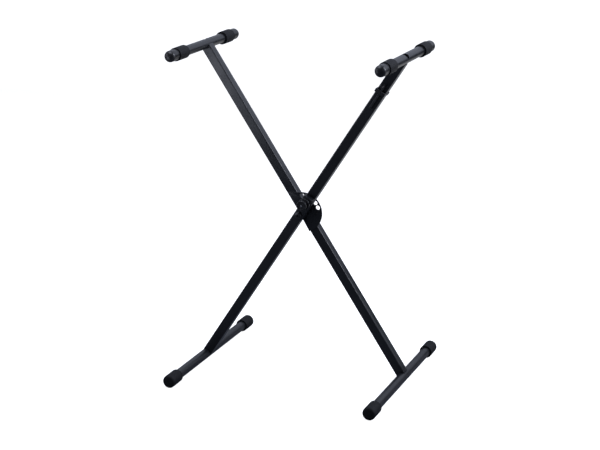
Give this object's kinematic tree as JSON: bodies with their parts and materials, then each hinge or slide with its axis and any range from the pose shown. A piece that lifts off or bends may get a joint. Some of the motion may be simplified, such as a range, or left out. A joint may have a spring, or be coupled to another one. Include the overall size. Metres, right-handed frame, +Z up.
{
  "type": "keyboard stand",
  "caption": "Folding X-shaped stand for a musical keyboard: two crossed square-tube legs on a pivot, set in height by a sprung pull pin in a perforated plate.",
  "frame": {"origin": "on the floor, midway between the four feet", "axes": "+Z up, X across the stand from the rear leg's top bar to the front leg's, +Y to the back; the bars lie along Y"},
  "size_m": [0.5824, 0.5, 0.8702],
  "materials": {
    "black_coat": "semi-gloss black powder coat",
    "rubber": "matt black rubber",
    "black_plastic": "moulded black plastic",
    "black_steel": "blackened steel",
    "bright_steel": "bright zinc"
  },
  "bodies": {
    "rear_leg_body": {"rear_leg": "black_coat", "top_bar_left": "black_coat", "top_bar_left_bolt": "black_steel", "top_bar_left_insert": "black_plastic", "top_bar_left_cap_front": "black_plastic", "top_bar_left_cap_rear": "black_plastic", "top_bar_left_sleeve_front": "rubber", "top_bar_left_sleeve_rear": "rubber", "foot_bar_right": "black_coat", "foot_bar_right_bolt": "black_steel", "foot_bar_right_insert": "black_plastic", "foot_bar_right_cap_front": "rubber", "foot_bar_right_cap_rear": "rubber", "lock_plate": "black_coat", "pivot_bolt": "black_steel", "pivot_washer_front": "black_steel", "pivot_washer_rear": "black_steel", "pivot_nut": "black_steel", "pivot_spacer": "black_plastic", "pivot_bush_rear": "bright_steel"},
    "front_leg_body": {"front_leg": "black_coat", "top_bar_right": "black_coat", "top_bar_right_bolt": "black_steel", "top_bar_right_insert": "black_plastic", "top_bar_right_cap_front": "black_plastic", "top_bar_right_cap_rear": "black_plastic", "top_bar_right_sleeve_front": "rubber", "top_bar_right_sleeve_rear": "rubber", "foot_bar_left": "black_coat", "foot_bar_left_bolt": "black_steel", "foot_bar_left_insert": "black_plastic", "foot_bar_left_cap_front": "rubber", "foot_bar_left_cap_rear": "rubber", "pivot_bush_front": "bright_steel", "lock_bracket": "black_coat", "lock_guide": "black_plastic", "hex_key": "black_steel", "key_clip": "black_plastic"},
    "plunger": {"lock_pin": "bright_steel", "lock_collar": "bright_steel", "lock_knob": "black_plastic", "lock_knob_screw": "bright_steel", "lock_spring": "bright_steel"}
  },
  "joints": [
    {"name": "fold", "type": "hinge", "parent": "rear_leg_body", "child": "front_leg_body", "pos_m": [0, 0, 0.4352], "axis": [0, 1, 0], "range_deg": [-61.5, 36]},
    {"name": "lock_pull", "type": "slide", "parent": "front_leg_body", "child": "plunger", "axis": [0, -1, 0], "range_m": [0, 0.006], "stiffness_N_per_m": 1500, "springref_m": -0.004, "deforming": ["lock_spring"]}
  ]
}
